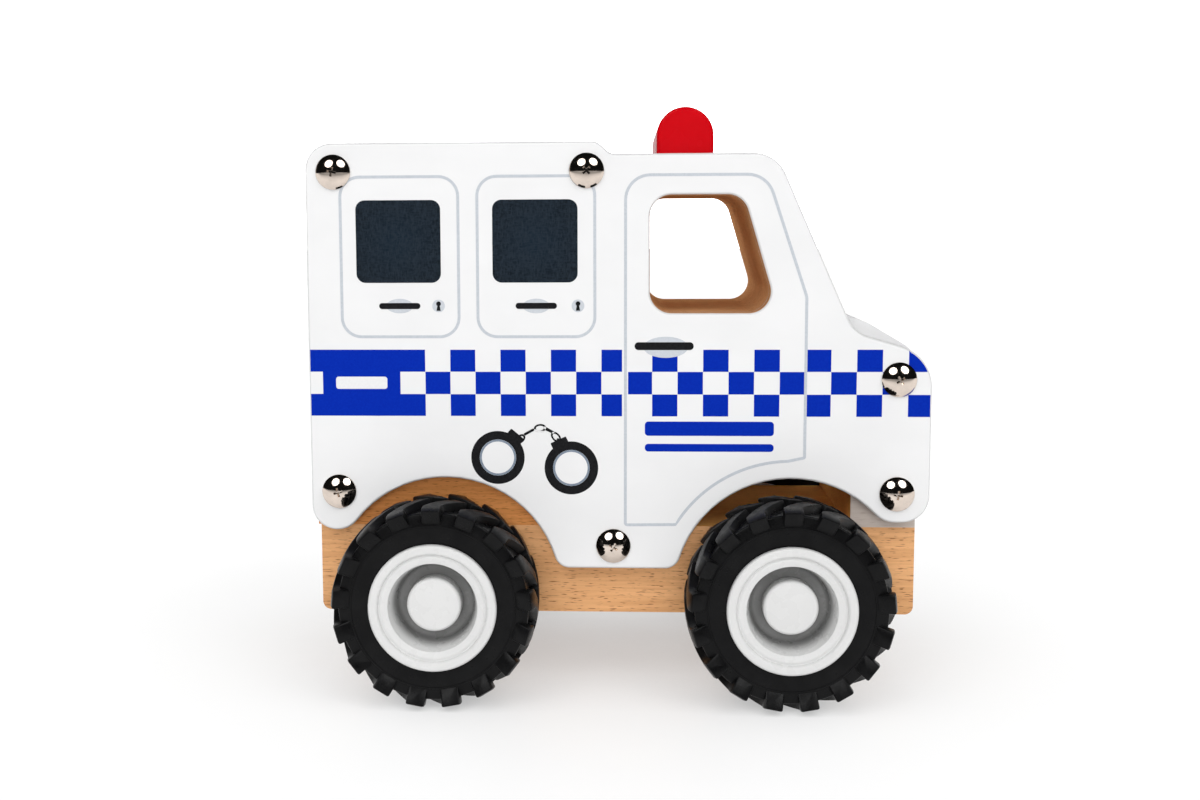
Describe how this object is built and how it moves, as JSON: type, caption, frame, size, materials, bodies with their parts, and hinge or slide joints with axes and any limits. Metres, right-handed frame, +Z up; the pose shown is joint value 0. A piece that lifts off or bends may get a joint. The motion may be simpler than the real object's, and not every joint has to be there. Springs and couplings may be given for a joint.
{
  "type": "toy police van",
  "caption": "Chunky wooden toy police van: beech core blocks between screwed-on white side panels, an open cab window, a red roof beacon and lugged rubber wheels that roll on steel axles.",
  "frame": {"origin": "on the ground under the middle of the van, where the tyres stand", "axes": "+X towards the van's front, +Y towards its left side, +Z up"},
  "size_m": [0.16, 0.11, 0.1513],
  "materials": {
    "beech": "oiled beech with fine flecks",
    "white_paint": "satin white paint on wood",
    "red_paint": "gloss red paint on wood",
    "dowel_wood": "plain dowel",
    "screw_chrome": "polished plating",
    "axle_steel": "drawn rod",
    "hub_plastic": "moulded",
    "tyre_rubber": "matt moulded rubber"
  },
  "bodies": {
    "body": {"chassis_board": "beech", "rear_block": "beech", "cab_block": "beech", "bonnet_block": "white_paint", "right_side_panel": "white_paint", "left_side_panel": "white_paint", "right_panel_screws": "screw_chrome", "left_panel_screws": "screw_chrome", "deck_dowels": "dowel_wood", "cab_dowels": "dowel_wood", "beacon": "red_paint", "beacon_dowels": "dowel_wood", "front_axle": "axle_steel", "rear_axle": "axle_steel", "front_right_cap": "hub_plastic", "front_left_cap": "hub_plastic", "rear_right_cap": "hub_plastic", "rear_left_cap": "hub_plastic"},
    "front_right_wheel": {"front_right_hub": "hub_plastic", "front_right_tyre": "tyre_rubber"},
    "front_left_wheel": {"front_left_hub": "hub_plastic", "front_left_tyre": "tyre_rubber"},
    "rear_right_wheel": {"rear_right_hub": "hub_plastic", "rear_right_tyre": "tyre_rubber"},
    "rear_left_wheel": {"rear_left_hub": "hub_plastic", "rear_left_tyre": "tyre_rubber"}
  },
  "joints": [
    {"name": "front_right_wheel_spin", "type": "hinge", "parent": "body", "child": "front_right_wheel", "pos_m": [0.0433, -0.0435, 0.0263], "axis": [0, 1, 0], "continuous": true},
    {"name": "front_left_wheel_spin", "type": "hinge", "parent": "body", "child": "front_left_wheel", "pos_m": [0.0433, 0.0435, 0.0263], "axis": [0, 1, 0], "continuous": true},
    {"name": "rear_right_wheel_spin", "type": "hinge", "parent": "body", "child": "rear_right_wheel", "pos_m": [-0.0461, -0.0435, 0.0263], "axis": [0, 1, 0], "continuous": true},
    {"name": "rear_left_wheel_spin", "type": "hinge", "parent": "body", "child": "rear_left_wheel", "pos_m": [-0.0461, 0.0435, 0.0263], "axis": [0, 1, 0], "continuous": true}
  ]
}
